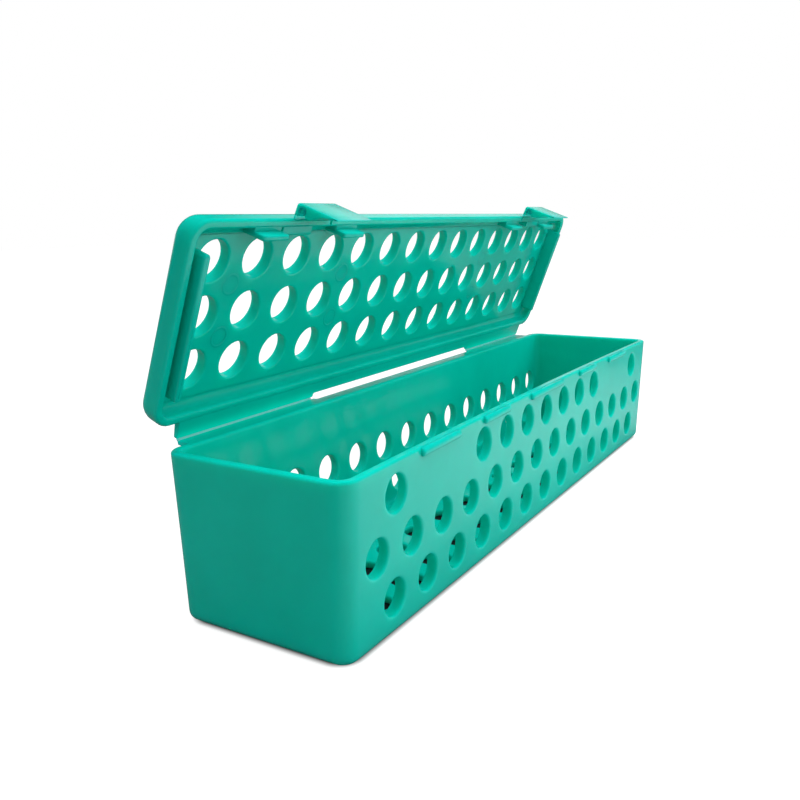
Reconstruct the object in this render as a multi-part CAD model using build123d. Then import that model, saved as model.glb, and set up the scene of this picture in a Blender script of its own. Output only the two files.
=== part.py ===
from build123d import *
import math
import os

# Perforated sterilization box for dental instruments: a deep tray and a shallow lid joined by a
# fold line at the back, and closed by two snap latches at the front.
# Millimetres. X runs along the box, Y from front to back, Z up.
# The origin is the centre of the underside.

# Tray, measured at its rim. Its inside narrows faster than its outside, so the walls thicken
# towards the floor.
box_length = 203.6
box_depth = 47.6
tray_height = 38.4
corner_radius = 5.0
wall_thickness = 2.2
floor_thickness = 2.1
tray_draft = 2.0
cavity_draft = 3.5
base_edge_radius = 2.0
floor_inner_radius = 1.2

# Hole pattern, shared by every perforated face. The back wall's holes and the slot in the fold
# line sit a little to the right of the middle.
hole_pitch = 13.9
hole_end_margin = 10.8
back_offset = 1.1
plate_row_count = 3

# Tray holes
wall_hole_diameter = 8.2
upper_row_height = 31.3
middle_row_height = 19.8
lower_row_height = 8.6
floor_hole_diameter = 8.2
floor_row_pitch = 12.7

# Lid
lid_margin = 0.3
lid_plate_thickness = 3.0
lid_skirt_depth = 3.3
lid_wall_thickness = 2.1
lid_draft = 1.0
lid_edge_radius = 3.5
lid_inner_radius = 0.8
lid_hole_diameter = 9.3
lid_row_pitch = 12.7
lid_row_offset = -0.6
lid_open_angle = 69.3
rim_gap = 0.4

# Ribs inside the lid's short ends, which drop inside the tray's end walls
end_rib_thickness = 2.4
end_rib_inset = 6.75
end_rib_drop = 1.1
end_rib_clearance = 0.8

# Lugs behind the lid's front skirt, which drop inside the tray's front wall
lug_width = 8.9
lug_thickness = 2.0
lug_drop = 2.4
lug_clearance = 0.4
lug_root_overlap = 0.5
lug_offset = 14.6
lug_end_radius = 0.9

# Pads and slits beside the latches, in the lid's front skirt
pad_width = 10.4
pad_depth = 1.8
pad_offset = 4.4
pad_recess = 0.15
slit_width = 0.5
slit_depth = 1.2
slit_height = 1.8
slit_clearance = 0.4

# Fold line behind the tray and lid
hinge_distance = 3.6
hinge_end_inset = 6.8
hinge_slot_length = 92.6
hinge_slot_reach = 1.7
hinge_slot_depth = 6.0
hinge_root_thickness = 1.7
hinge_edge_thickness = 1.0
hinge_web_radius = 0.35
web_seat_gap = 0.03
web_running_gap = 0.08

# Latches
latch_end_distance = 37.4
latch_width = 13.4
latch_face_distance = 3.8
latch_length = 11.5
latch_top_rise = 0.3
latch_top_slope = 0.3
latch_corner_radius = 0.45
latch_tip_thickness = 0.35
latch_web_radius = 0.35
latch_bead_gap = 0.35
latch_nose_gap = 0.6
latch_nose_length = 1.0

# Catch beads under the tray's front rim
bead_radius = 1.0
bead_drop = 1.1
bead_end_chamfer = 0.6
latch_bead_width = 18.0
outer_bead_offset = 34.5
outer_bead_width = 15.0
centre_bead_width = 24.0

# Places worked out from the sizes above
front_y = -box_depth / 2
back_y = box_depth / 2
lid_length = box_length - 2 * lid_margin
lid_depth = box_depth - 2 * lid_margin
lid_front_y = -lid_depth / 2
lid_back_y = lid_depth / 2
lid_rim_z = tray_height + rim_gap
lid_ceiling_z = lid_rim_z + lid_skirt_depth
lid_top_z = lid_ceiling_z + lid_plate_thickness
hinge_y = back_y + hinge_distance
hinge_z = tray_height + rim_gap / 2
latch_axis_y = lid_front_y - latch_web_radius - web_seat_gap
latch_axis_z = lid_rim_z + latch_web_radius
latch_centre = box_length / 2 - latch_end_distance
latch_centres = (-latch_centre, latch_centre)
cut_margin = 1.0


# Centres of a row of holes that has one on the middle line of the box
def centred_columns():
    steps = math.floor((box_length / 2 - hole_end_margin) / hole_pitch)
    return [i * hole_pitch for i in range(-steps, steps + 1)]


# Centres of a row of holes that straddles the middle line of the box
def straddling_columns():
    steps = math.floor((box_length / 2 - hole_end_margin) / hole_pitch + 0.5)
    return [(i + 0.5) * hole_pitch for i in range(-steps, steps)]


# Centres of the tray's upper front row, which leaves room for the beads that the latches catch
def upper_columns():
    blank = (latch_bead_width + wall_hole_diameter) / 2
    return [x for x in centred_columns() if min(abs(x - c) for c in latch_centres) > blank]


# Block with rounded corners that narrows by its draft away from its wide face.
# direction is 1 for a block that rises from the wide face and -1 for one that sinks below it.
def drafted_block(length, depth, radius, height, wide_z, direction, draft):
    wide_face = Plane(origin=(0, 0, wide_z), x_dir=(1, 0, 0), z_dir=(0, 0, direction))
    outline = wide_face * RectangleRounded(length, depth, radius)
    return extrude(outline, amount=height, taper=draft)


# Drills for one row of holes through a wall that faces front or back
def wall_drills(columns, height, wall_y):
    narrowing = tray_height * math.tan(math.radians(cavity_draft))
    span = 2 * (wall_thickness + narrowing + cut_margin)
    drill = Cylinder(wall_hole_diameter / 2, span, rotation=(90, 0, 0))
    return [Pos(x, wall_y, height) * drill for x in columns]


# Drills for rows of holes through a level plate, side by side about a middle row
def plate_drills(diameter, row_pitch, middle_y, plate_z, thickness):
    drill = Cylinder(diameter / 2, thickness + 2 * cut_margin)
    steps = [i - (plate_row_count - 1) / 2 for i in range(plate_row_count)]
    rows = [middle_y + step * row_pitch for step in steps]
    return [Pos(x, y, plate_z) * drill for y in rows for x in straddling_columns()]


# Half-round bead on the front wall, just under the rim
def catch_bead(x, width):
    bar = Cylinder(bead_radius, width, rotation=(0, 90, 0))
    bar = chamfer(bar.edges().filter_by(GeomType.CIRCLE), bead_end_chamfer)
    return Pos(x, front_y, tray_height - bead_drop) * bar


# Solid along X from a closed outline of (y, z) points
def prism_along_x(points, x_from, x_to):
    section = make_face(Polyline([(x_from, y, z) for y, z in points], close=True))
    return extrude(section, amount=x_to - x_from, dir=(1, 0, 0))


# Flange from a back wall to the fold line, with a notch for the long slot in its middle.
# side is -1 for the tray's flange, below its rim, and 1 for the lid's, above its rim.
def hinge_flange(wall_y, rim_z, side, web_gap):
    half_gap = abs(rim_z - hinge_z)
    reach = math.sqrt((hinge_web_radius + web_gap) ** 2 - half_gap**2)
    edge_y = hinge_y - reach
    root_y = wall_y - wall_thickness / 2
    section = [
        (root_y, rim_z),
        (edge_y, rim_z),
        (edge_y, rim_z + side * hinge_edge_thickness),
        (wall_y, rim_z + side * hinge_root_thickness),
        (root_y, rim_z + side * hinge_root_thickness),
    ]
    half_length = box_length / 2 - hinge_end_inset
    flange = prism_along_x(section, -half_length, half_length)
    slot = Pos(back_offset, hinge_y - hinge_slot_reach, rim_z) * Box(
        hinge_slot_length,
        hinge_distance,
        hinge_slot_depth,
        align=(Align.CENTER, Align.MIN, Align.CENTER),
    )
    return flange - slot


# Thin strip at the fold line, between the slot and one end
def hinge_web(direction):
    inner_x = back_offset + direction * hinge_slot_length / 2
    outer_x = direction * (box_length / 2 - hinge_end_inset)
    strip = Cylinder(hinge_web_radius, abs(outer_x - inner_x), rotation=(0, 90, 0))
    return Pos((inner_x + outer_x) / 2, hinge_y, hinge_z) * strip


# Deep lower half: drafted shell, holes, hinge flange and catch beads
def make_tray():
    shell = drafted_block(
        box_length, box_depth, corner_radius, tray_height, tray_height, -1, tray_draft
    )
    shell = fillet(shell.edges().group_by(Axis.Z)[0], base_edge_radius)
    cavity = drafted_block(
        box_length - 2 * wall_thickness,
        box_depth - 2 * wall_thickness,
        corner_radius - wall_thickness,
        tray_height - floor_thickness,
        tray_height,
        -1,
        cavity_draft,
    )
    cavity = fillet(cavity.edges().group_by(Axis.Z)[0], floor_inner_radius)
    tray = shell - cavity
    tray += hinge_flange(back_y, tray_height, -1, web_seat_gap)
    for x in latch_centres:
        tray += catch_bead(x, latch_bead_width)
    for x in (-outer_bead_offset, outer_bead_offset):
        tray += catch_bead(x, outer_bead_width)
    tray += catch_bead(0, centre_bead_width)
    drills = wall_drills(upper_columns(), upper_row_height, front_y)
    for wall_y, offset in ((front_y, 0), (back_y, back_offset)):
        middle_row = [x + offset for x in straddling_columns()]
        lower_row = [x + offset for x in centred_columns()]
        drills += wall_drills(middle_row, middle_row_height, wall_y)
        drills += wall_drills(lower_row, lower_row_height, wall_y)
    floor_z = floor_thickness / 2
    drills += plate_drills(floor_hole_diameter, floor_row_pitch, 0, floor_z, floor_thickness)
    return tray - drills


# Rounded rib behind one short end of the lid
def end_rib(direction):
    length = lid_depth - 2 * end_rib_inset
    height = lid_ceiling_z - tray_height + end_rib_drop
    outer_x = box_length / 2 - wall_thickness - end_rib_clearance
    outline = SlotOverall(length, end_rib_thickness, rotation=90)
    rib = extrude(outline, amount=height)
    return Pos(direction * (outer_x - end_rib_thickness / 2), 0, tray_height - end_rib_drop) * rib


# Locating lug behind the front skirt: full against the skirt above the rim, and set back by its
# clearance where it drops inside the tray
def front_lug(x):
    low_z = tray_height - lug_drop
    near_y = front_y + wall_thickness + lug_clearance
    lug = Box(
        lug_width,
        lug_thickness,
        lid_ceiling_z - low_z,
        align=(Align.CENTER, Align.MIN, Align.MIN),
    )
    lug = fillet(lug.edges().filter_by(Axis.Y).group_by(Axis.Z)[0], lug_end_radius)
    far_y = near_y + lug_root_overlap
    root = Box(
        lug_width,
        far_y - lid_front_y - lid_wall_thickness / 2,
        lid_skirt_depth,
        align=(Align.CENTER, Align.MAX, Align.MIN),
    )
    return Pos(x, near_y, low_z) * lug + Pos(x, far_y, lid_rim_z) * root


# Flat pad inside the skirt behind a latch, a hair above the skirt's rim
def latch_pad(centre_x, direction):
    pad = Box(
        pad_width,
        pad_depth + lid_wall_thickness / 2,
        lid_skirt_depth - pad_recess,
        align=(Align.CENTER, Align.MIN, Align.MIN),
    )
    x = centre_x + direction * pad_offset
    return Pos(x, lid_front_y + lid_wall_thickness / 2, lid_rim_z + pad_recess) * pad


# Slit in the skirt's rim at the inner end of a latch
def latch_slit(centre_x, direction):
    x = centre_x - direction * (latch_width / 2 + slit_clearance + slit_width / 2)
    slit = Box(slit_width, slit_depth, 2 * slit_height)
    return Pos(x, lid_front_y + slit_depth, lid_rim_z) * slit


# Shallow upper half, in its closed position
def make_lid():
    height = lid_skirt_depth + lid_plate_thickness
    shell = drafted_block(lid_length, lid_depth, corner_radius, height, lid_rim_z, 1, lid_draft)
    shell = fillet(shell.edges().group_by(Axis.Z)[-1], lid_edge_radius)
    pan = drafted_block(
        lid_length - 2 * lid_wall_thickness,
        lid_depth - 2 * lid_wall_thickness,
        corner_radius - lid_wall_thickness,
        lid_skirt_depth,
        lid_rim_z,
        1,
        lid_draft,
    )
    pan = fillet(pan.edges().group_by(Axis.Z)[-1], lid_inner_radius)
    lid = shell - pan
    lid += hinge_flange(lid_back_y, lid_rim_z, 1, web_running_gap)
    for direction, centre_x in zip((-1, 1), latch_centres):
        lid += end_rib(direction)
        lid += front_lug(centre_x - lug_offset)
        lid += front_lug(centre_x + lug_offset)
        lid += latch_pad(centre_x, direction)
        lid -= latch_slit(centre_x, direction)
    plate_z = lid_ceiling_z + lid_plate_thickness / 2
    drills = plate_drills(
        lid_hole_diameter, lid_row_pitch, lid_row_offset, plate_z, lid_plate_thickness
    )
    return lid - drills


# Thin strip that a latch swings on, in the lid's closed position
def latch_web(centre_x):
    strip = Cylinder(latch_web_radius, latch_width, rotation=(0, 90, 0))
    return Pos(centre_x, latch_axis_y, latch_axis_z) * strip


# Wedge-shaped snap flap, in its closed position: flat outside, with a groove that goes round the
# bead, a nose that hooks under it, and a long taper to the finger tip
def make_latch(centre_x):
    face_y = lid_front_y - latch_face_distance
    root_y = latch_axis_y - latch_web_radius - web_running_gap
    top_z = lid_rim_z + latch_top_rise
    inner_top_z = top_z + latch_top_slope
    tip_z = top_z - latch_length
    bead_z = tray_height - bead_drop
    groove_radius = bead_radius + latch_bead_gap
    nose_y = front_y - latch_nose_gap
    groove_top_z = bead_z + math.sqrt(groove_radius**2 - (root_y - front_y) ** 2)
    nose_top_z = bead_z - math.sqrt(groove_radius**2 - latch_nose_gap**2)
    nose_low_z = nose_top_z - latch_nose_length
    taper_y = (nose_y + face_y) / 2
    taper_z = (nose_low_z + tip_z) / 2

    outside = Line((0, face_y, tip_z), (0, face_y, top_z))
    top = Line((0, face_y, top_z), (0, root_y, inner_top_z))
    root = Line((0, root_y, inner_top_z), (0, root_y, groove_top_z))
    groove = ThreePointArc(
        (0, root_y, groove_top_z),
        (0, front_y - groove_radius, bead_z),
        (0, nose_y, nose_top_z),
    )
    nose = Line((0, nose_y, nose_top_z), (0, nose_y, nose_low_z))
    taper = Spline(
        (0, nose_y, nose_low_z),
        (0, taper_y, taper_z),
        (0, face_y + latch_tip_thickness, tip_z),
    )
    tip = Line((0, face_y + latch_tip_thickness, tip_z), (0, face_y, tip_z))
    section = make_face([outside, top, root, groove, nose, taper, tip])
    flap = extrude(section, amount=latch_width, dir=(1, 0, 0))
    outer_edges = flap.edges().filter_by(Axis.X).group_by(Axis.Y)[0].sort_by(Axis.Z)
    flap = fillet(outer_edges[-1], latch_corner_radius)
    return Pos(centre_x - latch_width / 2, 0, 0) * flap


# Piece of the lid turned back about the fold line, from closed to standing open
def opened(piece):
    return piece.rotate(Axis((0, hinge_y, hinge_z), (-1, 0, 0)), lid_open_angle)


pieces = {
    "tray": make_tray(),
    "hinge_web_left": hinge_web(-1),
    "hinge_web_right": hinge_web(1),
    "lid": opened(make_lid()),
}
for name, centre_x in zip(("left", "right"), latch_centres):
    pieces["latch_" + name] = opened(make_latch(centre_x))
    pieces["latch_web_" + name] = opened(latch_web(centre_x))

os.makedirs("parts", exist_ok=True)
for name, piece in pieces.items():
    export_step(piece, "parts/" + name + ".step")
    box = piece.bounding_box()
    print(name, "volume", round(piece.volume), "mm3, size", box.size)
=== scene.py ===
import math

import bmesh
import bpy
import numpy as np
from mathutils import Matrix, Vector


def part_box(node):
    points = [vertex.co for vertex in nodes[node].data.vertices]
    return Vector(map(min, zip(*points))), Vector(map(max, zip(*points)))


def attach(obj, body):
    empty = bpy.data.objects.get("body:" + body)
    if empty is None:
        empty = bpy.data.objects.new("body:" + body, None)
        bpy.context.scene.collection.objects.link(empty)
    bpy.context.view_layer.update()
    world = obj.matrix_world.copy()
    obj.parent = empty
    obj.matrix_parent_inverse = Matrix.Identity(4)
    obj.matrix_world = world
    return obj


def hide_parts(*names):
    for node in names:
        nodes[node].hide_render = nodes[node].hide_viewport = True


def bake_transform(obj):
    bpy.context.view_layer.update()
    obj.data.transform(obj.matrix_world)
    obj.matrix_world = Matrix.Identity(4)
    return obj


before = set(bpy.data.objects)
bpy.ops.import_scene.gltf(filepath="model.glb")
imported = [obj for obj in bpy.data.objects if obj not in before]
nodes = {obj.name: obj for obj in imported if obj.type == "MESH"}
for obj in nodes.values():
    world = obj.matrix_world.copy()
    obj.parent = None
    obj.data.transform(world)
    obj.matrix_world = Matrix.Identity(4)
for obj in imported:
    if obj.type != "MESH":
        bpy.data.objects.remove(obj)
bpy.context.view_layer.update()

scene = bpy.context.scene

# Forms are written in millimetres in the frame's own axes, and become metres when a piece is made.
# The lid and its latches are written closed, and turned open about the fold line.
mm = 0.001
trayHigh = np.array(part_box("tray")[1]) / mm  # the upper corner of its box

trayForm = {
    "halfLength": trayHigh[0],
    "halfDepth": 23.8,
    "height": trayHigh[2],
    "corner": 5.0,
    "wall": 2.2,
    "floor": 2.1,
    "outerDraft": 2.0,  # degrees
    "innerDraft": 3.5,
    "baseRound": 2.2,
    "floorRound": 1.2,
    "rimRound": 0.6,
    "plate": (95.9, 17.9),  # half size of the perforated part of the floor
}
trayRows = {
    "lower": (3.5, 8.6, 14.2),  # lower edge, middle and upper edge of a row's cells
    "middle": (14.2, 19.8, 25.55),
    "upper": (25.55, 31.3, 37.05),
}
trayBow = {
    "middle": 1.0,  # inward warp of the front wall's middle, at the rim
    "corner": 0.4,  # outward warp of its ends
    "back": 0.4,  # inward warp of the back wall's middle
    "power": 1.5,  # how that grows with height
    "start": 12.0,  # from the box's middle line to where it sets in
    "blend": 6.0,  # and how soon it is full
    "margin": 0.05,  # what is this far behind the back wall stays straight
}
trayEase = {"reach": 8.0, "pull": 0.7}  # how its upright corners grow rounder towards the base
lidForm = {
    "halfLength": trayForm["halfLength"] - 0.3,
    "halfDepth": trayForm["halfDepth"] - 0.3,
    "corner": 5.0,
    "rim": trayForm["height"] + 0.4,
    "skirt": 3.3,
    "plateThickness": 3.0,
    "wall": 2.1,
    "draft": 1.0,
    "edge": 3.5,  # radius of the outer edge
    "innerRound": 2.0,
    "rimRound": 0.65,
    "plate": (97.3, 19.3),
}
holeForm = {
    "pitch": 13.9,
    "cellSteps": 8,  # points along one side of a hole's cell
    "half": 56,  # those steps from the middle of a wall to its end
    "edgeSteps": 4,  # facets round a hole's edge
    "flat": 0.35,  # level ring left beside it
    "tray": (4.1, 0.55),  # radius and rounding of its edges
    "lid": (4.65, 0.45),
    "rowPitch": 12.7,
    "lidRowShift": -0.6,
    "backShift": 1.1,  # of the back wall's columns to the right
}
cornerArc = 7  # points inside the arc of a shell's upright corner
leastCorner = 0.25  # the least radius that such a corner shrinks to
strip = 0.2  # level strip beside a rounded edge, which keeps its shading even
foldLine = {
    "y": trayForm["halfDepth"] + 3.6,
    "z": trayForm["height"] + 0.2,
    "openAngle": 69.3,
    "halfLength": trayForm["halfLength"] - 8.1,
    "slot": (-44.4, 47.4),
    "sink": 0.06,  # how far the flanges lie below the rims
    "slotReach": 1.15,
    "slotTurns": (0.25, 0.6),  # radii at the slot's outer and inner corners
    "root": 1.7,  # thickness at the wall
    "edge": 1.0,  # thickness at the fold line
    "embedded": 0.8,  # how far a flange runs into its wall
    "edgeRounds": (0.15, 0.35),
    "endRound": 0.3,
    "turnSteps": 4,
    "film": 0.3,
}


# Points turned about the fold line, as the closed lid opens: y and z times the angle's cosine, and
# each into the other by its sine
def opened(points):
    turn = math.radians(foldLine["openAngle"])
    dy = points[..., 1] - foldLine["y"]
    dz = points[..., 2] - foldLine["z"]
    y = foldLine["y"] + dy * math.cos(turn) + dz * math.sin(turn)
    z = foldLine["z"] - dy * math.sin(turn) + dz * math.cos(turn)
    return np.stack([points[..., 0], y, z], axis=-1)


# Patches with their points turned so
def openedPatches(patches):
    return [(opened(points), faces) for points, faces in patches]


# Points of the tray moved as its long walls bow, by a power of their height: middles inward by
# 1 - the square of how far along the wall they are, and the front one's ends outward by that
# square. Its upright corners are pulled inward towards the base, by the product of the squares of
# how far a point is into the corner.
def bowed(points):
    x, y, z = points[..., 0], points[..., 1], points[..., 2]
    along = (x / trayForm["halfLength"]) ** 2
    height = np.clip(z / trayForm["height"], 0, 1)
    start, blend = trayBow["start"], trayBow["blend"]
    front = np.clip((-y - start) / blend, 0, 1)
    back = np.clip((y - start) / blend, 0, 1) * (y < trayForm["halfDepth"] + trayBow["margin"])
    push = front * (trayBow["middle"] * (1 - along) - trayBow["corner"] * along)
    push = push - back * trayBow["back"] * (1 - along)
    reach = trayEase["reach"]
    intoX = np.clip(np.abs(x) - trayForm["halfLength"] + reach, 0, reach) / reach
    intoY = np.clip(np.abs(y) - trayForm["halfDepth"] + reach, 0, reach) / reach
    pull = trayEase["pull"] * (1 - height) * (intoX * intoY) ** 2
    movedY = y + push * height ** trayBow["power"] - np.sign(y) * pull
    return np.stack([x - np.sign(x) * pull, movedY, z], axis=-1)


# Patch of a mesh: points as rows by columns, and the quads between them. A closed patch joins its
# last column to its first, and keep says which quads it has.
def gridPatch(points, closed=False, keep=None):
    rows, columns = points.shape[:2]
    span = columns if closed else columns - 1
    row, column = np.meshgrid(np.arange(rows - 1), np.arange(span), indexing="ij")
    near = row * columns + column
    beside = row * columns + (column + 1) % columns
    quads = np.stack([near, beside, beside + columns, near + columns], axis=-1)
    quads = quads.reshape(-1, 4) if keep is None else quads[keep[:, :span]]
    return points.reshape(-1, 3), quads.tolist()


# New object that is linked into the scene
def newObject(name, data):
    obj = bpy.data.objects.new(name, data)
    scene.collection.objects.link(obj)
    return obj


# One piece from several patches: joined where they meet, faced outward, and smooth but for edges
# sharper than the angle given
def makePiece(name, patches, body, *replaced, sharp=None):
    points, faces = [], []
    for patchPoints, patchFaces in patches:
        start = sum(len(p) for p in points)
        points.append(patchPoints)
        faces += [[start + corner for corner in face] for face in patchFaces]
    data = bpy.data.meshes.new(name)
    data.from_pydata((np.concatenate(points) * mm).tolist(), [], faces)
    shape = bmesh.new()
    shape.from_mesh(data)
    bmesh.ops.remove_doubles(shape, verts=shape.verts, dist=0.000004)
    bmesh.ops.recalc_face_normals(shape, faces=shape.faces)
    for face in shape.faces:
        face.smooth = True
    shape.to_mesh(data)
    shape.free()
    if sharp:
        data.set_sharp_from_angle(angle=math.radians(sharp))
    piece = newObject(name, data)
    if body:
        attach(piece, body)
    if replaced:
        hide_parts(*replaced)
    return piece


# Steps along a long wall: even over the holes, moved by the shift, and the half pitch beyond them
# stretched in proportion to reach the wall's end
def wallSteps(end, shift=0.0):
    half, pitch, steps = holeForm["half"], holeForm["pitch"], holeForm["cellSteps"]
    even = np.arange(-half, half + 1) / steps * pitch
    last, kept = half / steps * pitch, (half / steps - 0.5) * pitch
    return np.interp(even, [-last, -kept, kept, last], [-end, -kept + shift, kept + shift, end])


# Steps across rows of holes: even from each cell's edge to its middle, and on to its other edge
def rowSteps(rows):
    half = holeForm["cellSteps"] // 2
    runs = [[rows[0][0]]]
    for low, middle, high in rows:
        runs += [np.linspace(low, middle, half + 1)[1:], np.linspace(middle, high, half + 1)[1:]]
    return np.concatenate(runs)


# Shares of a rounded edge's radius, inward and onward: 1 - sine and 1 - cosine of a quarter turn
def quarterTurn(steps):
    turn = np.linspace(0, math.pi / 2, steps + 1)
    return 1 - np.sin(turn), 1 - np.cos(turn)


# Profile of one hole through a wall, as radius, face and depth: the cell's border, a level ring,
# the rounded edge, and the same backwards from the wall's other face. Radius 0 stands for the border.
def boreProfile(radius, rounding):
    bySine, byCosine = quarterTurn(holeForm["edgeSteps"])
    outer = radius + rounding + holeForm["flat"]
    radii = np.concatenate([[0, outer], radius + rounding * bySine])
    depths = np.concatenate([[0, 0], rounding * byCosine])
    faces = np.repeat([0, 1], len(radii))
    return np.concatenate([radii, radii[::-1]]), faces, np.concatenate([depths, depths[::-1]])


# Patches of one row of a perforated wall. Each hole has a cell, whose border ring runs on through
# the hole's profile to the wall's other face; the rest of the row is level on both faces.
# place turns (along, across, face, depth) into a point.
def perforatedRow(along, across, starts, hole, place):
    steps = holeForm["cellSteps"]
    radii, faces, depths = boreProfile(*hole)
    run = np.arange(steps)
    side = np.concatenate([run, np.full(steps, steps), steps - run, np.full(steps, 0)])
    rise = np.roll(side, steps)
    turn = np.radians(-135 + 360 / (4 * steps) * np.arange(4 * steps))
    patches = []
    for start in starts:
        border = np.stack([along[start + side], across[rise]])
        middle = np.array([along[start + steps // 2], across[steps // 2]])
        circle = middle[:, None, None] + radii[:, None] * np.stack([np.cos(turn), np.sin(turn)])[:, None, :]
        spot = np.where(radii[:, None] == 0, border[:, None, :], circle)
        patches.append(gridPatch(place(spot[0], spot[1], faces[:, None], depths[:, None]), closed=True))
    level = np.ones((steps, len(along) - 1), bool)
    for start in starts:
        level[:, start : start + steps] = False
    a, b = np.meshgrid(along, across)
    for face in (0, 1):
        patches.append(gridPatch(place(a, b, face, 0), keep=level))
    return patches


# Outline of a shell, anticlockwise from its front left: feet of its normals, on straight sides and
# corner centres, and the normals
def shellOutline(form, frontSteps, backSteps, sideSteps):
    lengthways, across = form["halfLength"] - form["corner"], form["halfDepth"] - form["corner"]
    side = np.interp(sideSteps, [sideSteps[0], sideSteps[-1]], [-across, across])
    runs = [
        (frontSteps, np.full(len(frontSteps), -across), -90),
        (np.full(len(side), lengthways), side, 0),
        (backSteps[::-1], np.full(len(backSteps), across), 90),
        (np.full(len(side), -lengthways), side[::-1], 180),
    ]
    feet, angles = [], []
    for x, y, angle in runs:
        feet.append(np.stack([x, y], axis=-1))
        angles.append(np.full(len(x), angle))
        bend = np.linspace(angle, angle + 90, cornerArc + 2)[1:-1]
        feet.append(np.tile([x[-1], y[-1]], (len(bend), 1)))
        angles.append(bend)
    turn = np.radians(np.concatenate(angles))
    limit = np.array([lengthways, across])
    return np.concatenate(feet), np.stack([np.cos(turn), np.sin(turn)], axis=-1), limit


# One ring of a shell at a height, set in from its outline by an offset. A corner's radius is the
# form's less that offset.
def shellRing(form, outline, offset, z):
    feet, normals, limit = outline
    reach = form["corner"] - offset
    arc = max(reach, leastCorner)
    inner = limit - (arc - reach)
    points = np.clip(feet, -inner, inner) + normals * arc
    return np.column_stack([points, np.full(len(points), z)])


# The shell's last ring, on the border of its perforated plate: a rectangle with as many points as
# the outline, whose corners hold all the points of the outline's arcs
def plateRing(form, frontSteps, sideSteps, z):
    length, across = form["plate"]
    corner = np.ones(cornerArc)
    front = np.full(len(frontSteps) + cornerArc, across)
    x = np.concatenate([frontSteps, length * corner, np.full(len(sideSteps), length), length * corner])
    x = np.concatenate([x, -x])
    y = np.concatenate([-front, sideSteps, across * corner, front, sideSteps[::-1], -across * corner])
    return np.column_stack([x, y, np.full(len(x), z)])


# Arc of a profile about a centre, as (offset, z) at even steps of its angle in degrees
def profileArc(offset, z, radius, start, end, steps=6):
    turn = np.radians(np.linspace(start, end, steps + 1))
    return list(zip(offset + radius * np.cos(turn), z + radius * np.sin(turn)))


# Columns of holes, by the step that their first cell starts at
straddling = list(range(0, 2 * holeForm["half"], holeForm["cellSteps"]))
centred = [start + holeForm["cellSteps"] // 2 for start in straddling[:-1]]


# Three rows of holes across a level plate, as (low, middle, high)
def plateRows(reach, shift):
    pitch = holeForm["rowPitch"]
    low, high = shift - pitch / 2, shift + pitch / 2
    return [(-reach, shift - pitch, low), (low, shift, high), (high, shift + pitch, reach)]


latchForm = {
    "centre": trayForm["halfLength"] - 37.4,
    "width": 13.4,
    "beadWidth": 18.0,
    "beadRadius": 1.0,
    "beadDrop": 1.1,
    "faceDistance": 3.8,  # from the skirt to the outer face
    "length": 11.5,
    "topRise": 0.3,
    "topSlope": 0.3,
    "rootGap": 0.81,  # from the skirt to the root
    "grooveGap": 0.35,  # round the bead
    "noseGap": 0.6,  # of the nose past the bead's middle
    "noseDepth": 1.0,
    "sag": (0.9, 0.6),  # of the taper, and how much less of it at its tip
    "tip": 0.5,
    "tipRounds": (0.25, 0.15, 0.1),  # height and two chamfers
    "rounds": (0.8, 0.5),  # top edge and root edge
    "arcPoints": 9,
    "endRound": 0.3,
}
ringForm = {"place": (-25.75, 37.4), "radius": 0.8, "tube": 0.3, "rise": 0.22}  # boss on a latch's side
slitForm = {"offset": 7.35, "halfWidth": 0.35, "side": 0.12, "height": 1.8}  # in the skirt's rim
latchCentres = {"left": -latchForm["centre"], "right": latchForm["centre"]}


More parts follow.
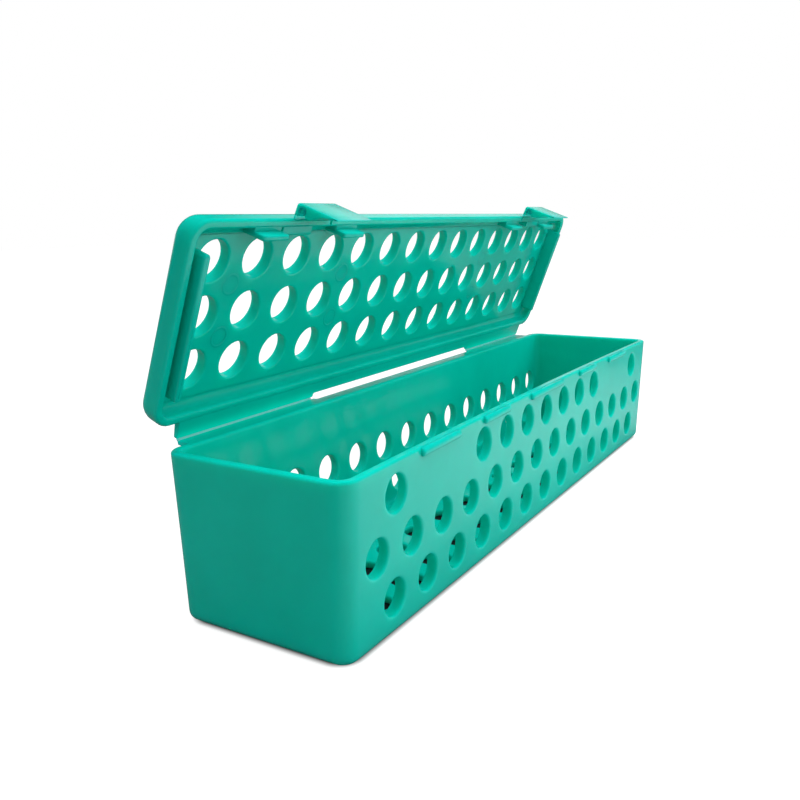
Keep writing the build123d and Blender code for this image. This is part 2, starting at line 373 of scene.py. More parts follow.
# Tray: a profile of (offset, z) from under the floor, up the outside, over the rim and down to the
# floor, carried round the outline. Its long walls and floor are left open there and filled with
# rows of holes. A wall leans inward by height below the rim times the tangent of its draft.
def trayShell():
    form = trayForm
    hole = holeForm["tray"]
    end = form["halfLength"] - form["corner"]
    frontSteps, backSteps = wallSteps(end), wallSteps(end, holeForm["backShift"])
    floorSteps = wallSteps(form["plate"][0])
    floorRows = plateRows(form["plate"][1], 0)
    floorAcross = rowSteps(floorRows)
    heights = rowSteps(list(trayRows.values()))
    outline = shellOutline(form, frontSteps, backSteps, floorAcross)

    def outer(z):
        return (form["height"] - z) * math.tan(math.radians(form["outerDraft"]))

    def inner(z):
        return form["wall"] + (form["height"] - z) * math.tan(math.radians(form["innerDraft"]))

    base, rim, fillet = form["baseRound"], form["rimRound"], form["floorRound"]
    rimZ, filletZ = form["height"] - rim, form["floor"] + fillet
    profile = [(outer(base) + base + 2 * strip, 0)]
    profile += profileArc(outer(base) + base, base, base, -90, -178)
    outerStart = 1 + len(profile)
    profile += [(outer(z), z) for z in heights]
    profile += [(outer(rimZ - strip), rimZ - strip)]
    profile += profileArc(outer(rimZ) + rim, rimZ, rim, 180, 90) + [(rim + strip, form["height"])]
    profile += [(form["wall"] - rim - strip, form["height"])]
    profile += profileArc(inner(rimZ) - rim, rimZ, rim, 90, 0)
    profile += [(inner(rimZ - strip), rimZ - strip)]
    innerStart = 1 + len(profile)
    profile += [(inner(z), z) for z in heights[::-1]]
    profile += profileArc(inner(filletZ) + fillet, filletZ, fillet, 180, 270)
    profile += [(inner(filletZ) + fillet + strip, form["floor"])]

    rings = [plateRing(form, floorSteps, floorAcross, 0)]
    rings += [shellRing(form, outline, offset, z) for offset, z in profile]
    rings += [plateRing(form, floorSteps, floorAcross, form["floor"])]
    keep = np.ones((len(rings) - 1, len(outline[0])), bool)
    allRows, rowSpan = len(heights) - 1, holeForm["cellSteps"]
    front = slice(0, len(frontSteps) - 1)
    backFirst = len(frontSteps) + len(floorAcross) + 2 * cornerArc
    back = slice(backFirst, backFirst + len(backSteps) - 1)
    keep[outerStart : outerStart + allRows, front] = False
    keep[innerStart : innerStart + allRows, front] = False
    keep[outerStart : outerStart + allRows - rowSpan, back] = False
    keep[innerStart + rowSpan : innerStart + allRows, back] = False
    patches = [gridPatch(bowed(np.stack(rings)), closed=True, keep=keep)]

    def longWall(side):
        def place(x, z, face, depth):
            across = np.where(face == 0, outer(z) + depth, inner(z) - depth)
            return bowed(np.stack([x, side * (form["halfDepth"] - across), z], axis=-1))

        return place

    def floorPlate(x, y, face, depth):
        z = np.where(face == 0, depth, form["floor"] - depth) + 0 * x
        return bowed(np.stack([x, y, z], axis=-1))

    blank = (latchForm["beadWidth"] + 2 * hole[0]) / 2
    middles = {start: frontSteps[start + holeForm["cellSteps"] // 2] for start in centred}
    upper = [s for s, x in middles.items() if min(abs(x - c) for c in latchCentres.values()) > blank]
    rowStarts = {"lower": centred, "middle": straddling, "upper": upper}
    for name, starts in rowStarts.items():
        across = rowSteps([trayRows[name]])
        patches += perforatedRow(frontSteps, across, starts, hole, longWall(-1))
        if name != "upper":
            patches += perforatedRow(backSteps, across, starts, hole, longWall(1))
    for row in floorRows:
        patches += perforatedRow(floorSteps, rowSteps([row]), straddling, hole, floorPlate)
    return makePiece("trayShell", patches, "tray_body", "tray")


# Lid: a profile from the plate's outer face, over its edge, down the skirt, round the rim and up
# to the plate's inner face, carried round the outline. Four columns of the outline are moved
# together at each slit, and the rim's middle points there are raised.
def lidShell():
    form = lidForm
    end = form["halfLength"] - form["corner"]
    rows = plateRows(form["plate"][1], holeForm["lidRowShift"])
    lidSteps, plateSteps, across = wallSteps(end), wallSteps(form["plate"][0]), rowSteps(rows)
    frontSteps = lidSteps.copy()
    slits = [centre - math.copysign(slitForm["offset"], centre) for centre in latchCentres.values()]
    for slit in slits:
        nearest = int(np.searchsorted(frontSteps, slit))
        inner, outer = slitForm["halfWidth"], slitForm["halfWidth"] + slitForm["side"]
        frontSteps[nearest - 2 : nearest + 2] = slit + np.array([-outer, -inner, inner, outer])
    outline = shellOutline(form, frontSteps, lidSteps, across)
    low, ceiling = form["rim"], form["rim"] + form["skirt"]
    top = ceiling + form["plateThickness"]
    edge, fillet, rim = form["edge"], form["innerRound"], form["rimRound"]

    def lean(z):
        return (z - low) * math.tan(math.radians(form["draft"]))

    def inner(z):
        return form["wall"] + lean(z)

    edgeZ, rimZ, filletZ = top - edge, low + rim, ceiling - fillet
    profile = [(lean(edgeZ) + edge + 1.5 * strip, top)]
    profile += profileArc(lean(edgeZ) + edge, edgeZ, edge, 90, 179, steps=8)
    profile += [(lean(z), z) for z in (edgeZ - 2 * strip, rimZ + strip)]
    profile += profileArc(lean(rimZ) + rim, rimZ, rim, 180, 270)
    profile += [(rim + strip, low), (form["wall"] - rim - strip, low)]
    profile += profileArc(inner(rimZ) - rim, rimZ, rim, 270, 360)
    profile += [(inner(z), z) for z in (rimZ + strip, filletZ - strip)]
    profile += profileArc(inner(filletZ) + fillet, filletZ, fillet, 180, 90)
    profile += [(inner(ceiling) + fillet + strip, ceiling)]
    rings = [plateRing(form, plateSteps, across, top)]
    rings += [shellRing(form, outline, offset, z) for offset, z in profile]
    rings += [plateRing(form, plateSteps, across, ceiling)]
    shell = np.stack(rings)
    level = [i + 1 for i, (offset, z) in enumerate(profile) if z == low and offset > rim]
    for slit in slits:
        inside = np.flatnonzero(np.abs(frontSteps - slit) < slitForm["halfWidth"] + 0.01)
        shell[np.ix_(level, inside, [2])] += slitForm["height"]
    patches = [gridPatch(opened(shell), closed=True)]

    def plate(x, y, face, depth):
        z = np.where(face == 0, top - depth, ceiling + depth) + 0 * x
        return opened(np.stack([x, y, z], axis=-1))

    for row in rows:
        patches += perforatedRow(plateSteps, rowSteps([row]), straddling, holeForm["lid"], plate)
    return makePiece("lidShell", patches, "lid_body", "lid", sharp=50)


# Closed outline from corners given as (first, second, radius). Each arc touches both sides, so its
# middle lies on the corner's bisector at radius over the sine of half the corner's angle.
def softCorners(corners, steps=5):
    points = []
    count = len(corners)
    for i, (a, b, radius) in enumerate(corners):
        here = np.array([a, b])
        ways = [np.array(corners[(i + k) % count][:2]) - here for k in (-1, 1)]
        before, after = [way / np.linalg.norm(way) for way in ways]
        if radius == 0:
            points.append(here[None])
            continue
        half = math.acos(np.clip(before @ after, -1, 1)) / 2
        reach = radius / math.tan(half)
        middle = here + (before + after) / np.linalg.norm(before + after) * radius / math.sin(half)
        first, last = here + before * reach - middle, here + after * reach - middle
        start = math.atan2(first[1], first[0])
        sweep = (math.atan2(last[1], last[0]) - start + math.pi) % (2 * math.pi) - math.pi
        turn = start + sweep * np.linspace(0, 1, steps + 1)
        points.append(middle + radius * np.stack([np.cos(turn), np.sin(turn)], axis=-1))
    return np.concatenate(points)


# Directions of flat steps, with length 1, turned left by a right angle if asked
def directions(steps, left=False):
    ways = steps / np.linalg.norm(steps, axis=1)[:, None]
    return np.stack([-ways[:, 1], ways[:, 0]], axis=-1) if left else ways


# Outline moved inward: each point along the mean of its two sides' normals, by the distance over
# the cosine of half the turn there
def insetOutline(outline, distance):
    following = np.roll(outline, -1, axis=0)
    after = directions(following - outline)
    before = np.roll(after, 1, axis=0)
    area = np.sum(outline[:, 0] * following[:, 1] - following[:, 0] * outline[:, 1])
    side = math.copysign(1, area)
    inward = side * directions(before + after, left=True)
    square = side * np.stack([-after[:, 1], after[:, 0]], axis=-1)
    return outline + inward * distance / np.maximum(np.sum(inward * square, axis=1), 0.5)[:, None]


# Closed body from rings of points, its two ends filled with one face each
def cappedPatch(rings):
    points, faces = gridPatch(np.stack(rings), closed=True)
    count = len(rings[0])
    faces += [list(range(count)), list(range(len(points) - count, len(points)))]
    return points, faces


# Bar with a closed outline, from one place to another along x, y or z, its ends rounded over by
# quarter turns. The outline's two coordinates are the other two axes, in order.
def barPatch(outline, start, end, rounding, axis=0, steps=4, rounded=(True, True)):
    insets, lifts = [rounding * share for share in quarterTurn(steps)]
    sign = math.copysign(1, end - start)
    first, last = [(0, start)], [(0, end)]
    if rounded[0]:
        first = [(inset, start + sign * lift) for inset, lift in zip(insets, lifts)]
    if rounded[1]:
        last = [(inset, end - sign * lift) for inset, lift in zip(insets, lifts)][::-1]
    rings = [np.insert(insetOutline(outline, inset), axis, place, axis=1) for inset, place in first + last]
    return cappedPatch(rings)


# Flange from a back wall to the fold line: one section carried along x, whose edge stops short
# between the slot's ends and follows a quarter circle at each of its corners. side is -1 below the
# tray's rim and 1 above the lid's.
def flangePatch(wallY, rimZ, side):
    root, tip = wallY - foldLine["embedded"], foldLine["y"]
    narrow = tip - foldLine["slotReach"]
    face = rimZ + side * foldLine["sink"]
    thick, thin = rimZ + side * foldLine["root"], rimZ + side * foldLine["edge"]
    nearRound, farRound = foldLine["edgeRounds"]

    def section(edge):
        corners = [(root, face, 0), (edge, face, nearRound), (edge, thin, farRound)]
        return softCorners(corners + [(wallY, thick, 0), (root, thick, 0)])

    reach, slot = foldLine["halfLength"], foldLine["slot"]
    outerTurn, innerTurn = foldLine["slotTurns"]
    bySine, byCosine = quarterTurn(foldLine["turnSteps"])
    x = np.concatenate([slot[0] - outerTurn * bySine, slot[0] + innerTurn * byCosine])
    edge = np.concatenate([tip - outerTurn * byCosine, narrow + innerTurn * bySine])
    x = np.concatenate([x, slot[0] + slot[1] - x[::-1]])
    edge = np.concatenate([edge, edge[::-1]])
    insets, lifts = foldLine["endRound"] * bySine, foldLine["endRound"] * byCosine
    ends = [(insetOutline(section(tip), inset), lift) for inset, lift in zip(insets, lifts)]
    rings = [np.insert(flat, 0, lift - reach, axis=1) for flat, lift in ends]
    rings += [np.insert(section(e), 0, place, axis=1) for place, e in zip(x, edge)]
    rings += [np.insert(flat, 0, reach - lift, axis=1) for flat, lift in ends[::-1]]
    return cappedPatch(rings)


# Ring of round section about a middle, flattened to a height: the radius plus the tube's cosine
# turned about the axis, and its sine times the height along that
def ringPatch(axis, middle, radius, tube, height):
    around = np.radians(np.arange(0, 360, 10))[None, :]
    section = np.radians(np.arange(0, 361, 30))[:, None]
    out = radius + tube * np.cos(section)
    flat = np.stack([middle[0] + out * np.cos(around), middle[1] + out * np.sin(around)], axis=-1)
    rise = middle[2] + height * np.sin(section) + 0 * around
    return gridPatch(np.insert(flat, axis, rise, axis=-1), closed=True)


beadForm = {"outerOffset": 34.5, "outerWidth": 15.0, "centreWidth": 24.0, "endRound": 0.7}


# Half-round catch beads under the tray's front rim, with softened ends: round bars moved out and
# in with the bowed wall
def catchBeads():
    turn = np.radians(np.arange(0, 360, 15))
    circle = latchForm["beadRadius"] * np.stack([np.cos(turn), np.sin(turn)], axis=-1)
    outline = circle + [-trayForm["halfDepth"], trayForm["height"] - latchForm["beadDrop"]]
    places = [(c, latchForm["beadWidth"]) for c in latchCentres.values()]
    places += [(side * beadForm["outerOffset"], beadForm["outerWidth"]) for side in (-1, 1)]
    places += [(0, beadForm["centreWidth"])]
    patches = []
    for x, width in places:
        points, faces = barPatch(outline, x - width / 2, x + width / 2, beadForm["endRound"])
        onWall = points.copy()
        onWall[:, 1] = -trayForm["halfDepth"]
        points[:, 1] += bowed(onWall)[:, 1] + trayForm["halfDepth"]
        patches.append((points, faces))
    return patches


ribForm = {"thickness": 1.9, "inset": 6.75, "drop": 1.1, "clearance": 1.3, "crest": 0.5}
lugForm = {
    "width": 8.9,
    "thickness": 1.3,
    "drop": 2.4,  # below the tray's rim when closed
    "clearance": 0.85,  # from the tray's wall
    "offset": 14.6,  # from a latch's middle
    "tip": 0.9,  # radius of its lower corners
    "round": 0.45,
    "recess": 0.1,  # of its foot behind the lid's rim
    "foot": 0.8,
}
padForm = {"width": 10.4, "depth": 1.8, "offset": 4.4, "recess": 0.15}
fittingForm = {"round": 0.3, "sunk": 0.5, "behind": 1.0}  # soft edges, into the plate, into the skirt
markForm = {  # circles that ejector pins left
    "radius": 2.3,
    "rise": 0.05,
    "lip": 0.3,
    "across": (-7.4, 5.3),
    "along": (-83.4, -41.7, 41.7, 83.4),
}


# Ribs, lugs, pads and pin marks inside the lid: bars with rounded outlines that stand in its plate,
# written closed
def lidFittings():
    form = lidForm
    low, ceiling = form["rim"], form["rim"] + form["skirt"]
    inFront, hidden = -form["halfDepth"], ceiling + fittingForm["sunk"]
    behind, soft = inFront + fittingForm["behind"], fittingForm["round"]
    patches = []

    def upright(x, width, bottom, bottomRound, topRound):
        a, b = x - width / 2, x + width / 2
        corners = [(a, bottom, bottomRound), (b, bottom, bottomRound)]
        return softCorners(corners + [(b, hidden, topRound), (a, hidden, topRound)])

    halfRib = form["halfDepth"] - ribForm["inset"]
    outerX = trayForm["halfLength"] - trayForm["wall"] - ribForm["clearance"]
    for side in (-1, 1):
        a, b = side * (outerX - ribForm["thickness"]), side * outerX
        corners = [(a, -halfRib), (b, -halfRib), (b, halfRib), (a, halfRib)]
        slot = softCorners([(x, y, ribForm["thickness"] / 2 - 0.02) for x, y in corners])
        crest = trayForm["height"] - ribForm["drop"]
        patches.append(barPatch(slot, crest, hidden, ribForm["crest"], axis=2, rounded=(True, False)))
    nearY = -trayForm["halfDepth"] + trayForm["wall"] + lugForm["clearance"]
    lugLow, width = trayForm["height"] - lugForm["drop"], lugForm["width"]
    for centre in latchCentres.values():
        for side in (-1, 1):
            x = centre + side * lugForm["offset"]
            tall = upright(x, width, lugLow, lugForm["tip"], 0)
            patches.append(barPatch(tall, nearY, nearY + lugForm["thickness"], lugForm["round"], axis=1))
            short = upright(x, width, low + lugForm["recess"], soft, soft)
            patches.append(barPatch(short, behind, nearY + lugForm["foot"], soft, axis=1))
    padY = inFront + form["wall"] + padForm["depth"]
    for side, centre in zip((-1, 1), latchCentres.values()):
        x = centre + side * padForm["offset"]
        pad = upright(x, padForm["width"], low + padForm["recess"], soft, soft)
        patches.append(barPatch(pad, behind, padY, soft, axis=1))
    radius, lip, rise = markForm["radius"], markForm["lip"], markForm["rise"]
    for x in markForm["along"]:
        patches += [ringPatch(2, (x, y, ceiling), radius, lip, rise) for y in markForm["across"]]
    return patches


# Section of a latch as (y, z): flat outside, rounded at its top, a groove that is an arc about the
# bead, the nose under it, and a taper to the finger tip that sags by a sine
def latchSection():
    form = latchForm
    faceY = -lidForm["halfDepth"] - form["faceDistance"]
    rootY = -lidForm["halfDepth"] - form["rootGap"]
    topZ = lidForm["rim"] + form["topRise"]
    tipZ = topZ - form["length"]
    beadY, beadZ = -trayForm["halfDepth"], trayForm["height"] - form["beadDrop"]
    groove, noseY = form["beadRadius"] + form["grooveGap"], beadY - form["noseGap"]
    noseTop = beadZ - math.sqrt(groove**2 - form["noseGap"] ** 2)
    grooveTop = beadZ + math.sqrt(groove**2 - (rootY - beadY) ** 2)
    grooveEnds = [(rootY, grooveTop), (noseY, noseTop)]
    first, last = [math.atan2(z - beadZ, y - beadY) % (2 * math.pi) for y, z in grooveEnds]
    turn = np.linspace(first, last, form["arcPoints"])
    arc = np.stack([beadY + groove * np.cos(turn), beadZ + groove * np.sin(turn)], axis=-1)
    reach = np.linspace(0, 1, form["arcPoints"])[1:-1]
    tipRise, tipNear, tipFar = form["tipRounds"]
    nose = np.array([noseY, noseTop - form["noseDepth"]])
    tip = np.array([faceY + form["tip"], tipZ + tipRise])
    sag, less = form["sag"]
    sag = sag * np.sin(reach * math.pi) * (1 - less * reach)
    taper = nose + (tip - nose) * reach[:, None] - np.stack([sag, 0 * sag], axis=-1)
    topRound, rootRound = form["rounds"]
    corners = [(faceY, tipZ, 0.0), (faceY, topZ, topRound)]
    corners += [(rootY, topZ + form["topSlope"], rootRound), (rootY, grooveTop, 0.0)]
    top = softCorners(corners, steps=4)
    under = [[faceY + form["tip"] - tipNear, tipZ], [faceY + tipFar, tipZ]]
    return np.concatenate([top[1:], arc[1:], [nose], taper, [tip], under])


# Latch: its section carried along x, with a small ring boss on each side face
def latchPiece(side):
    centre = latchCentres[side]
    outline = latchSection()
    half = latchForm["width"] / 2
    patches = [barPatch(outline, centre - half, centre + half, latchForm["endRound"])]
    radius, tube, rise = ringForm["radius"], ringForm["tube"], ringForm["rise"]
    for x in (centre - half, centre + half):
        patches.append(ringPatch(0, (*ringForm["place"], x), radius, tube, rise))
    node = "latch_" + side
    return makePiece("latch" + side.title(), openedPatches(patches), node + "_body", node, sharp=50)


filmForm = {
    "root": 0.5,  # how far it starts inside the flanges, and how deep
    "depth": 0.3,
    "dip": (0.94, -0.65),  # of its bend's control point from the fold line
    "steps": 12,
    "endGap": 0.4,  # from the flanges' ends and from the slot's
    "slotGap": 0.5,
    "round": 0.12,
    "turning": 0.4,  # share of the way from a flange's edge to the bend
}


# Thin film at the fold line: a strip from inside the tray's flange to inside the lid's along a
# quadratic curve, half the film's thickness to either side of it
def hingeFilm(side, name, node):
    slotEnds, gap = foldLine["slot"], filmForm["slotGap"]
    outerEnd = foldLine["halfLength"] - filmForm["endGap"]
    ends = {"left": (-outerEnd, slotEnds[0] - gap), "right": (slotEnds[1] + gap, outerEnd)}
    fold = np.array([foldLine["y"], foldLine["z"]])
    sunk = foldLine["film"] / 2 + filmForm["depth"]
    low = np.array([fold[0] - filmForm["root"], trayForm["height"] - sunk])
    high = opened(np.array([0, fold[0] - filmForm["root"], lidForm["rim"] + sunk]))[1:]
    bend = fold + filmForm["dip"]
    t = np.linspace(0, 1, filmForm["steps"] + 1)[:, None]
    line = (1 - t) ** 2 * low + 2 * t * (1 - t) * bend + t**2 * high
    out = directions(np.gradient(line, axis=0), left=True) * foldLine["film"] / 2
    outline = np.concatenate([line - out, (line + out)[::-1]])
    piece = makePiece(name, [barPatch(outline, *ends[side], filmForm["round"])], None, node)
    share = filmForm["turning"]
    places = [edge * (1 - share) + bend * share for edge in (low, high)]
    start, end = [np.array([0, *place]) * mm for place in places]
    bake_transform(piece)
    return piece


latchFilmForm = {
    "thickness": 0.4,
    "rise": 0.35,  # of its middle above the lid's rim
    "inLatch": 1.2,  # from the skirt's face into the latch, and into the skirt
    "inSkirt": 0.3,
    "turning": (0.05, -0.85),  # from that face, to two places across the strip
    "points": 9,
    "round": 0.1,
}


# Film that a latch swings on: a flat strip from the lid's skirt into the latch's root
def latchFilm(side):
    form = latchFilmForm
    centre, half = latchCentres[side], latchForm["width"] / 2 - form["round"]
    skirtY = -lidForm["halfDepth"]
    axisZ = lidForm["rim"] + form["rise"]
    y = np.linspace(skirtY - form["inLatch"], skirtY + form["inSkirt"], form["points"])
    lower = np.stack([y, np.full(len(y), axisZ - form["thickness"] / 2)], axis=-1)
    outline = np.concatenate([lower, lower[::-1] + [0, form["thickness"]]])
    patches = openedPatches([barPatch(outline, centre - half, centre + half, form["round"])])
    piece = makePiece("latchFilm" + side.title(), patches, None, "latch_web_" + side)
    places = [skirtY + turning for turning in form["turning"]]
    start, end = [opened(np.array([centre, place, axisZ])) * mm for place in places]
    "latch_" + side + "_body"
    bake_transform(piece)
    return piece


plasticPieces = [trayShell(), lidShell()]
print("shells built")
trayDetail = [flangePatch(trayForm["halfDepth"], trayForm["height"], -1), *catchBeads()]
plasticPieces.append(makePiece("trayFlangeAndBeads", trayDetail, "tray_body", sharp=40))
lidDetail = openedPatches([flangePatch(lidForm["halfDepth"], lidForm["rim"], 1), *lidFittings()])
plasticPieces.append(makePiece("lidFlangeAndFittings", lidDetail, "lid_body", sharp=40))
for side in latchCentres:
    plasticPieces += [latchPiece(side), latchFilm(side)]
    plasticPieces.append(hingeFilm(side, "foldFilm" + side.title(), "hinge_web_" + side))
print("flanges, fittings, latches and films built")


# Links an input to a socket, or sets its own value
def fill(tree, slot, value):
    if isinstance(value, Sock):
        tree.links.new(value.socket, slot)
    else:
        slot.default_value = value


# Socket with arithmetic: an expression on sockets and numbers adds the Math nodes that it needs
class Sock:
    def __init__(self, tree, socket):
        self.tree = tree
        self.socket = socket

    def math(self, operation, *others, first=None):
        node = self.tree.nodes.new("ShaderNodeMath")
        node.operation = operation
        values = [self if first is None else first, *others]
        for slot, value in zip(node.inputs, values):
            fill(self.tree, slot, value)
        return Sock(self.tree, node.outputs[0])

    def __add__(self, other):
        return self.math("ADD", other)

    def __sub__(self, other):
        return self.math("SUBTRACT", other)

    def __rsub__(self, other):
        return self.math("SUBTRACT", self, first=other)

    def __mul__(self, other):
        return self.math("MULTIPLY", other)

    def __pow__(self, other):
        return self.math("POWER", other)

    __radd__, __rmul__ = __add__, __mul__

    def output(self, key):
        return Sock(self.tree, self.socket.node.outputs[key])

    def clamped(self):
        node = self.tree.nodes.new("ShaderNodeClamp")
        self.tree.links.new(self.socket, node.inputs[0])
        return Sock(self.tree, node.outputs[0])

    # From 0 at the first value to 1 at the second, in proportion
    def ramp(self, first, second):
        return ((self - first) * (1 / (second - first))).clamped()


# Node tree of a material or the world. add makes any other node from its type, its settings and
# the values or sockets of its inputs.
class NodeTree:
    def __init__(self, owner, output):
        owner.use_nodes = True
        self.tree = owner.node_tree
        self.tree.nodes.clear()
        self.output = self.tree.nodes.new(output)

    def add(self, kind, settings, inputs, out=0):
        node = self.tree.nodes.new(kind)
        for key, value in settings.items():
            setattr(node, key, value)
        for slot, value in inputs.items():
            fill(self.tree, node.inputs[slot], value)
        return Sock(self.tree, node.outputs[out])

    def noise(self, place, scale, detail, roughness):
        inputs = {"Vector": place, "Scale": scale, "Detail": detail, "Roughness": roughness}
        return self.add("ShaderNodeTexNoise", {}, inputs)

    def blend(self, factor, first, second):
        return self.add("ShaderNodeMix", {"data_type": "RGBA"}, {0: factor, 6: first, 7: second}, out=2)

    def mixShaders(self, factor, first, second):
        return self.add("ShaderNodeMixShader", {}, {0: factor, 1: first, 2: second})

    # What the camera sees, through clear things too, and what is mirrored
    def rays(self):
        ray = self.add("ShaderNodeLightPath", {}, {})
        seen = ray.output("Is Camera Ray") + ray.output("Is Transmission Ray")
        return seen.clamped(), ray.output("Is Glossy Ray")

    def show(self, surface):
        self.tree.links.new(surface.socket, self.output.inputs[0])


plasticLook = {
    "deep": (0.0, 0.54, 0.412, 1),
    "fresh": (0.0, 0.63, 0.492, 1),
    "thin": (0.0, 0.98, 0.76, 1),  # painted glow by the fold line, standing in for light that comes through the thin plastic
    "paintedGlowReach": (3.4, 0.4),  # millimetres from the fold line where that starts, and is full
    # pale painted glow of the folded film, standing in for light that comes through it
    "paintedGlowPale": (0.40, 0.85, 0.85, 1),
    "speck": (0.0, 0.10, 0.07, 1),
    "roughness": 0.15,
    "ior": 1.49,
    "shine": 0.35,
    "glow": 0.68,  # share of light that wanders under the surface
    "addedGlow": 0.15,  # the same in what stands on a wall, so that it shows no dark edge
    "glowReach": 0.0038,
    "glowTint": (0.05, 1.0, 0.85),
    "pale": 0.55,  # share of that pale painted glow on the folded film
}
plasticGrain = {
    "slow": (24.0, 3.0, 0.5),  # scale, detail and roughness of each noise
    "cloud": (95.0, 3.0, 0.6),
    "ripple": (170.0, 1.5, 0.45),
    "peel": (700.0, 2.0, 0.5),
    "fine": (3800.0, 2.0, 0.6),
    "rare": (31.0, 0.0, 0.5),
    "drift": (1.4, 0.8),  # how far the slow one and the cloud move the colour
    "speckScale": 55.0,
    "speckRadius": 0.022,
    "speckEdge": 90,
    "speckRare": (0.55, 12),  # where specks start to show, and how soon
    "speckShare": 0.6,
    "shineDrift": (0.08, 0.06),  # how far the slow one and the fine one move the roughness
    "skinMix": (0.8, 0.2),
    "waves": {"Strength": 0.16, "Distance": 0.0006},
    "skin": {"Strength": 0.10, "Distance": 0.0001},
}


# Satin polypropylene. Its colour drifts by two slow noises, goes to a brighter one by the square of
# nearness to the fold line, a painted glow of light coming through the thin plastic there, and is
# darker in a few specks: small spheres round Voronoi points, kept where a slow noise is high. Two bumps
# give mould ripple and fine skin.
def tealPlastic(name, glow, pale=0.0):
    material = bpy.data.materials.new(name)
    f = NodeTree(material, "ShaderNodeOutputMaterial")
    place = f.add("ShaderNodeTexCoord", {}, {}, out=3)
    grain = plasticGrain
    kinds = ("slow", "cloud", "ripple", "peel", "fine", "rare")
    slow, cloud, ripple, peel, fine, rare = [f.noise(place, *grain[kind]) for kind in kinds]
    bySlow, byCloud = grain["drift"]
    drift = (0.5 + (slow - 0.5) * bySlow + (cloud - 0.5) * byCloud).clamped()
    colour = f.blend(drift, plasticLook["deep"], plasticLook["fresh"])
    foldPlace = (0, foldLine["y"] * mm, foldLine["z"] * mm)
    fromFold = f.add("ShaderNodeVectorMath", {"operation": "SUBTRACT"}, {0: place, 1: foldPlace})
    fromFold = f.add("ShaderNodeVectorMath", {"operation": "MULTIPLY"}, {0: fromFold, 1: (0, 1, 1)})
    away = f.add("ShaderNodeVectorMath", {"operation": "LENGTH"}, {0: fromFold}, out=1)
    # Painted glow: brighter by the square of nearness to the fold line, for light coming through the thin
    # plastic there
    thin = (away * (1 / mm)).ramp(*plasticLook["paintedGlowReach"])
    colour = f.blend(thin * thin, colour, plasticLook["thin"])
    spots = f.add("ShaderNodeTexVoronoi", {}, {"Vector": place, "Scale": grain["speckScale"]})
    speck = ((grain["speckRadius"] - spots) * grain["speckEdge"]).clamped()
    shows, soon = grain["speckRare"]
    speck = speck * ((rare - shows) * soon).clamped()
    colour = f.blend(speck * grain["speckShare"], colour, plasticLook["speck"])
    # Painted glow: the folded film goes pale, for light coming through it
    if pale:
        colour = f.blend(pale, colour, plasticLook["paintedGlowPale"])
    waves = f.add("ShaderNodeBump", {}, {**grain["waves"], "Height": ripple})
    byPeel, byFine = grain["skinMix"]
    skin = {**grain["skin"], "Height": peel * byPeel + fine * byFine, "Normal": waves}
    fromSlow, fromFine = grain["shineDrift"]
    surface = {
        "Base Color": colour,
        "Roughness": plasticLook["roughness"] + (slow - 0.5) * fromSlow + (fine - 0.5) * fromFine,
        "Normal": f.add("ShaderNodeBump", {}, skin),
        "IOR": plasticLook["ior"],
        "Specular IOR Level": plasticLook["shine"],
        "Subsurface Weight": glow,
        "Subsurface Radius": plasticLook["glowTint"],
        "Subsurface Scale": plasticLook["glowReach"],
    }
    f.show(f.add("ShaderNodeBsdfPrincipled", {}, surface))
    return material


# Gives an object one material and no other
def dress(obj, material):
    obj.data.materials.clear()
    obj.data.materials.append(material)


teal = tealPlastic("tealPolypropylene", plasticLook["glow"])
# Fold films, with a pale painted glow of light coming through them
paintedGlowPale = tealPlastic("paintedGlowFold", plasticLook["glow"], pale=plasticLook["pale"])
added = tealPlastic("tealAddedForms", plasticLook["addedGlow"])
finishes = {"foldFilmLeft": paintedGlowPale, "foldFilmRight": paintedGlowPale, "lidFlangeAndFittings": added}
for piece in plasticPieces + list(nodes.values()):
    dress(piece, finishes.get(piece.name, teal))
print("plastic pieces dressed")

groundLook = {
    "halfSide": 3.0,
    "glow": 0.95,  # share of full white that the camera is shown
    "mirroredGlow": 0.30,
    "roughness": 0.9,
    "hidden": (0.01, 0.01, 0.01, 1),  # painted shadow: dark ground under the box
    "tones": (0.14, 0.95),  # of the ground far off, and in a painted pool of light
    "pool": (0.04, -0.115),  # its middle
    "poolReach": (0.24, 0.13),
    "shade": 0.022,  # how far in front of the box the mirrored pool starts
    "mirroredShare": 0.70,  # how much of it is mirrored
    "foot": (0.0990, 0.0210),  # half size of the tray's footprint
    "footCorner": 0.0045,
    "fade": (0.0, 0.0018),  # where the glow starts and is full, outside it
    "under": (-0.0040, 0.0010),  # where the painted shadow of dark ground under the box ends
}
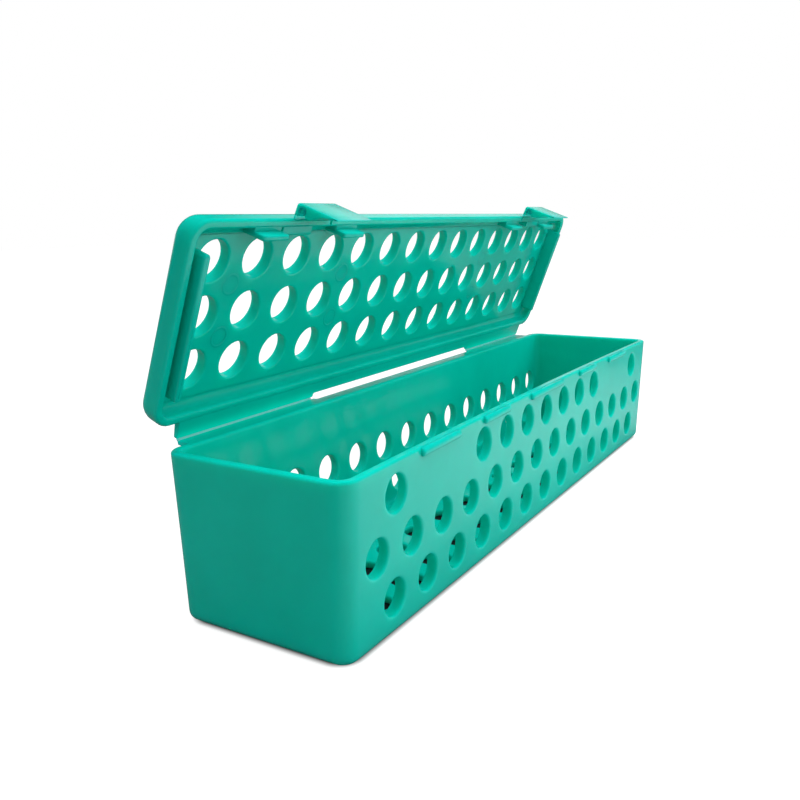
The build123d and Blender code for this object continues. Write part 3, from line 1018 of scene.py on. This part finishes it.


# White ground that the camera sees a little brighter than it is, but not under the box. Its tone is a
# painted pool of light, falling by the square of the distance in an ellipse and painted darker close
# in front of the box where the plastic mirrors it, and is painted dark as shadow inside the tray's
# footprint, a rectangle with rounded corners, from whose edge all distances are taken.
def whiteGround():
    half = groundLook["halfSide"]
    corners = [(-half, -half, 0), (half, -half, 0), (half, half, 0), (-half, half, 0)]
    data = bpy.data.meshes.new("ground")
    data.from_pydata(corners, [], [(0, 1, 2, 3)])
    ground = newObject("ground", data)
    material = bpy.data.materials.new("whiteGround")
    f = NodeTree(material, "ShaderNodeOutputMaterial")
    place = f.add("ShaderNodeTexCoord", {}, {}, out=3)
    x = f.add("ShaderNodeSeparateXYZ", {}, {0: place})
    y = x.output(1)
    (dark, light), (poolX, poolY) = groundLook["tones"], groundLook["pool"]
    reachX, reachY = groundLook["poolReach"]
    away = ((x - poolX) * (1 / reachX)) ** 2 + ((y - poolY) * (1 / reachY)) ** 2
    (halfX, halfY), corner = groundLook["foot"], groundLook["footCorner"]
    besideX = (x.math("ABSOLUTE") - (halfX - corner)).math("MAXIMUM", 0)
    besideY = (y.math("ABSOLUTE") - (halfY - corner)).math("MAXIMUM", 0)
    outside = (besideX**2 + besideY**2) ** 0.5 - corner
    seen, mirrored = f.rays()
    # Painted light: the tone is a pool of light, which the plastic mirrors darker close in front of the box
    # as painted shade
    shade = outside.ramp(0, groundLook["shade"]) * groundLook["mirroredShare"]
    lit = (1 - away).clamped() * (1 - mirrored * (1 - shade))
    tone = f.blend(lit, (dark, dark, dark, 1), (light, light, light, 1))
    # Painted shadow: the ground goes dark under the box and just beyond its footprint
    tone = f.blend(outside.ramp(*groundLook["under"]), groundLook["hidden"], tone)
    bright = outside.ramp(*groundLook["fade"])
    shown = seen * groundLook["glow"] + mirrored * lit * groundLook["mirroredGlow"]
    flat = {"Base Color": tone, "Roughness": groundLook["roughness"]}
    matte = f.add("ShaderNodeBsdfPrincipled", {}, flat)
    glow = f.add("ShaderNodeEmission", {}, {"Color": (1, 1, 1, 1), "Strength": 1.0})
    both = f.add("ShaderNodeAddShader", {}, {0: matte, 1: glow})
    f.show(f.mixShaders(bright * shown, matte, both))
    dress(ground, material)


worldLook = {
    "diffuse": 0.74,
    "mirrored": (0.02, 0.75),  # dark and bright side of what the plastic mirrors
    "brightSide": (0.86, 0.38, 0.33),
    "spread": (0.970, 0.996),  # cosines to it where that is dark, and bright
    "low": (0.08, 0.14, 0.8),  # height, half height and strength of a bright band low on the right
    "east": 3.0,  # how soon the band sets in towards the right
    "seen": 1.0,
}


# Surroundings that light the box evenly, white to the camera. What the plastic mirrors is dark but
# for a bright side, by the cosine to its direction, and a band, by height above the horizon.
def whiteWorld():
    world = bpy.data.worlds.new("studio")
    scene.world = world
    f = NodeTree(world, "ShaderNodeOutputWorld")

    def back(strength):
        return f.add("ShaderNodeBackground", {}, {"Color": (1, 1, 1, 1), "Strength": strength})

    way = f.add("ShaderNodeTexCoord", {}, {})
    side = tuple(Vector(worldLook["brightSide"]).normalized())
    toward = f.add("ShaderNodeVectorMath", {"operation": "DOT_PRODUCT"}, {0: way, 1: side}, out=1)
    lit = toward.ramp(*worldLook["spread"])
    middle, half, share = worldLook["low"]
    east = f.add("ShaderNodeSeparateXYZ", {}, {0: way})
    level = (1 - (east.output(2) - middle).math("ABSOLUTE") * (1 / half)).clamped()
    band = level * (east * worldLook["east"]).clamped()
    lit = (lit + band * share).clamped()
    dark, light = worldLook["mirrored"]
    seen, mirrored = f.rays()
    shown = f.mixShaders(mirrored, back(worldLook["diffuse"]), f.mixShaders(lit, back(dark), back(light)))
    f.show(f.mixShaders(seen, shown, back(worldLook["seen"])))


studioLamps = {
    "overhead": dict(place=(0.25, 0.05, 0.95), aim=0.03, size=0.9, power=8.5, tint=(0.8, 0.88, 1)),
    "front": dict(place=(0.45, -0.85, 0.40), aim=0.03, size=0.7, power=2.5, tint=(0.82, 0.91, 1)),
    "backdrop": dict(place=(0.95, 0.75, 0.40), aim=0.05, size=1.4, power=0.5, tint=(1, 1, 1)),
}


# Square lamp that faces a point at a height above the frame's origin, and isn't mirrored
def lamp(name, place, aim, size, power, tint):
    data = bpy.data.lights.new(name, "AREA")
    data.size = size
    data.energy = power
    data.color = tint
    obj = newObject(name, data)
    obj.location = place
    toward = Vector((0, 0, aim)) - Vector(place)
    obj.rotation_euler = toward.to_track_quat("-Z", "Y").to_euler()
    obj.visible_glossy = False


photoView = {
    "place": (-0.2159, -0.1069, 0.0851),  # where the photograph was taken from
    "aim": (-0.03157, 0.00598, 0.04410),
    "roll": -1.06,  # degrees
    "lens": 36.47,
    "shift": (-0.0052, -0.0299),
    "sensor": 36.0,
    "clip": (0.01, 20.0),
}


# Camera at the photograph's place: level towards its aim, then turned about its own axis
def photoCamera():
    data = bpy.data.cameras.new("photoCamera")
    camera = newObject("photoCamera", data)
    place = Vector(photoView["place"])
    level = (Vector(photoView["aim"]) - place).to_track_quat("-Z", "Y").to_matrix()
    turn = Matrix.Rotation(math.radians(photoView["roll"]), 3, "Z")
    camera.rotation_euler = (level @ turn).to_euler()
    camera.location = place
    data.lens = photoView["lens"]
    data.sensor_width = photoView["sensor"]
    data.shift_x, data.shift_y = photoView["shift"]
    data.clip_start, data.clip_end = photoView["clip"]
    scene.camera = camera


whiteGround()
whiteWorld()
for name, values in studioLamps.items():
    lamp(name, **values)
photoCamera()
scene.view_settings.view_transform = "Standard"
print("stage set")
